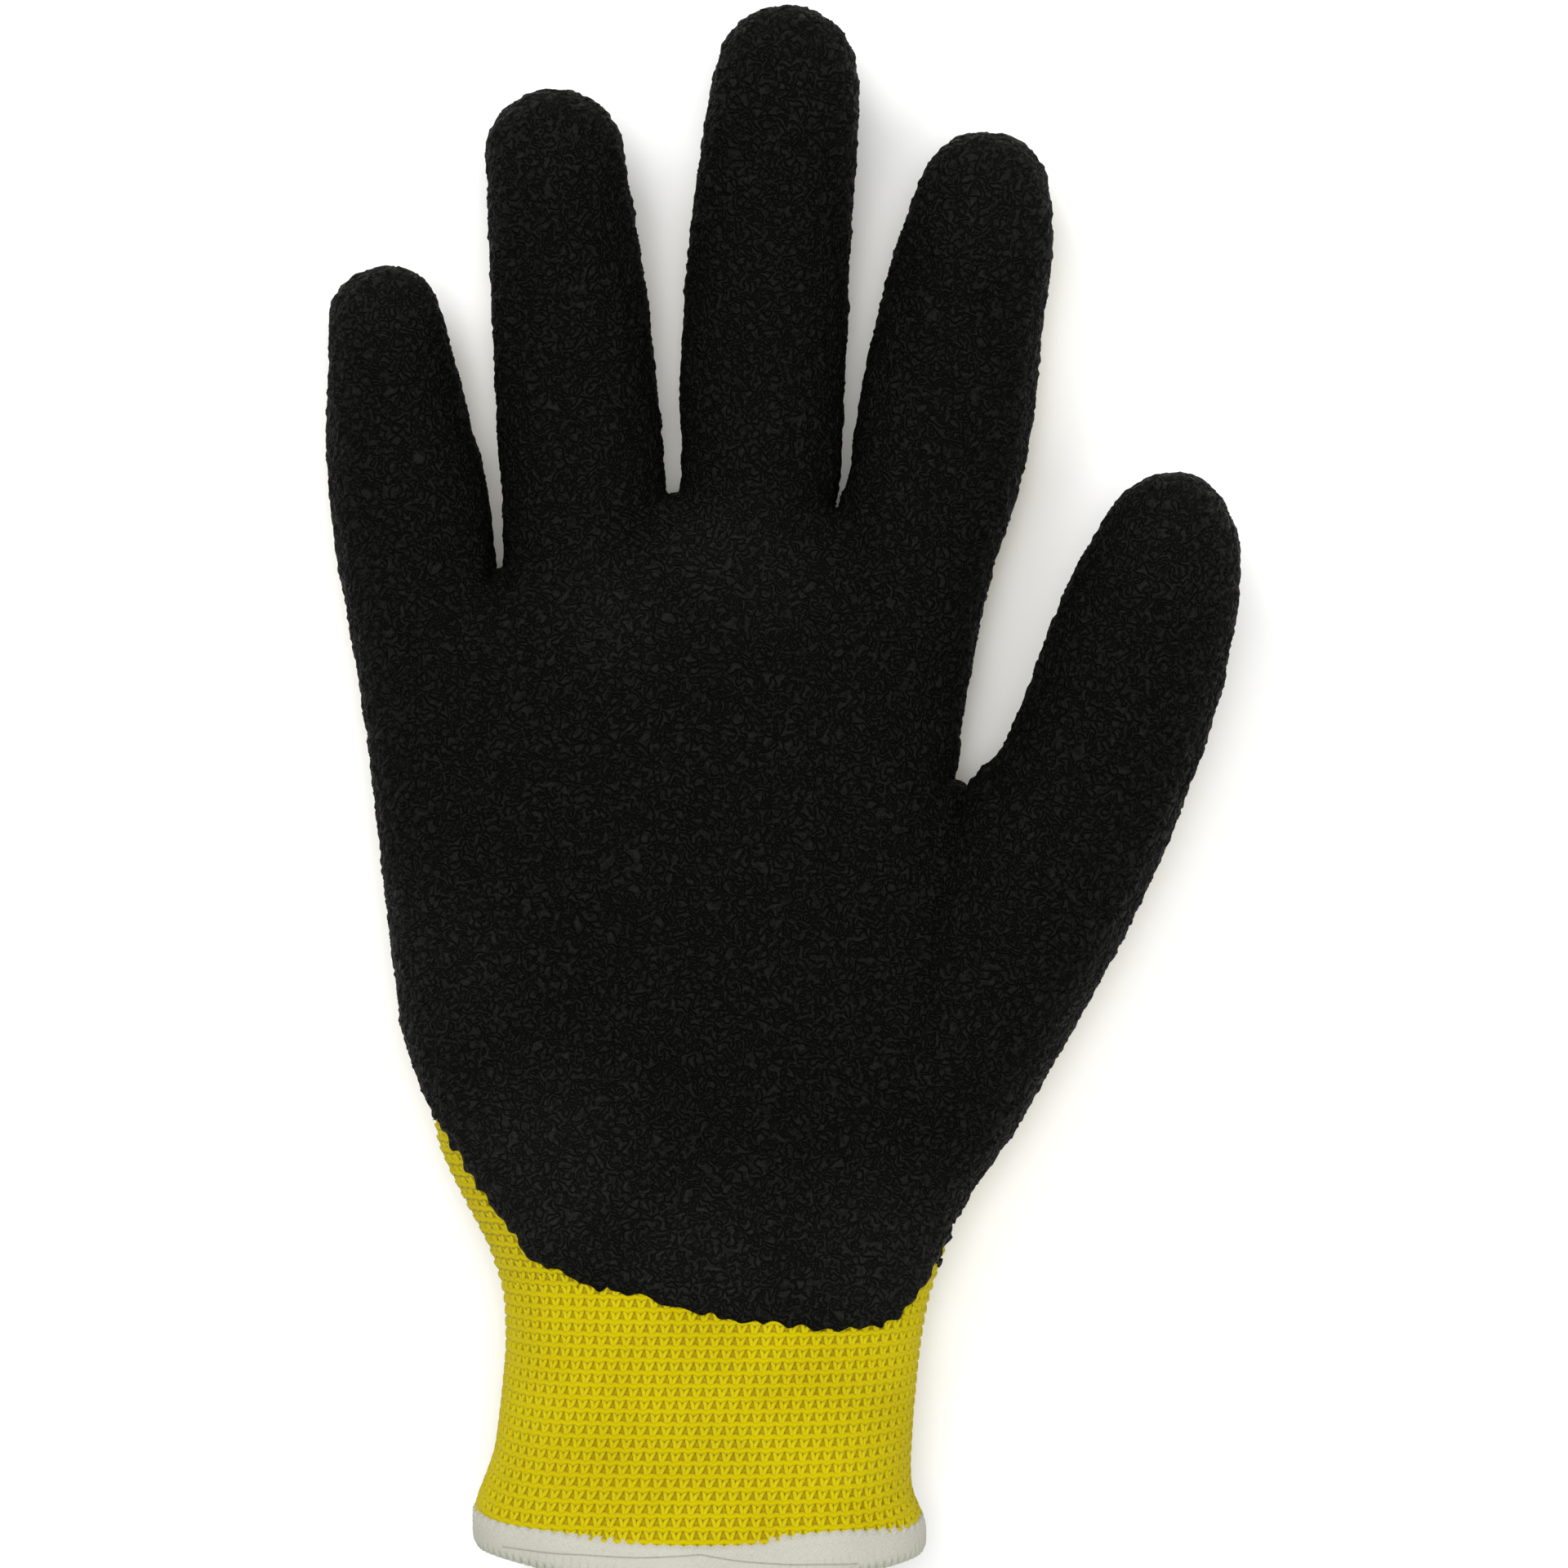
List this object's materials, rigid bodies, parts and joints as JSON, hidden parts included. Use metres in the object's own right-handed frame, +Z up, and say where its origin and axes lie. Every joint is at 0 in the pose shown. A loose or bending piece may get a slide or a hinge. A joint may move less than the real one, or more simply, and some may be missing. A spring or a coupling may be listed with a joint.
{
  "type": "latex-coated knit winter work glove",
  "caption": "Right-hand knitted winter work glove with a crinkled latex grip coating on palm and fingers, an open knitted cuff and a bound edge, lying palm up.",
  "frame": {"origin": "middle of the glove seen from above, on the surface that it lies on", "axes": "+Z up out of the palm, +Y from the cuff to the fingertips, +X towards the thumb"},
  "size_m": [0.1452, 0.2492, 0.0381],
  "materials": {
    "yellow_knit": "coarse purl-faced knit in bright yellow yarn",
    "black_latex": "near-black latex with a dense matte crinkle",
    "white_binding": "overlocked off-white elastic yarn"
  },
  "bodies": {
    "root": {"knit_liner": "yellow_knit", "latex_coating": "black_latex", "cuff_binding": "white_binding"}
  },
  "joints": []
}
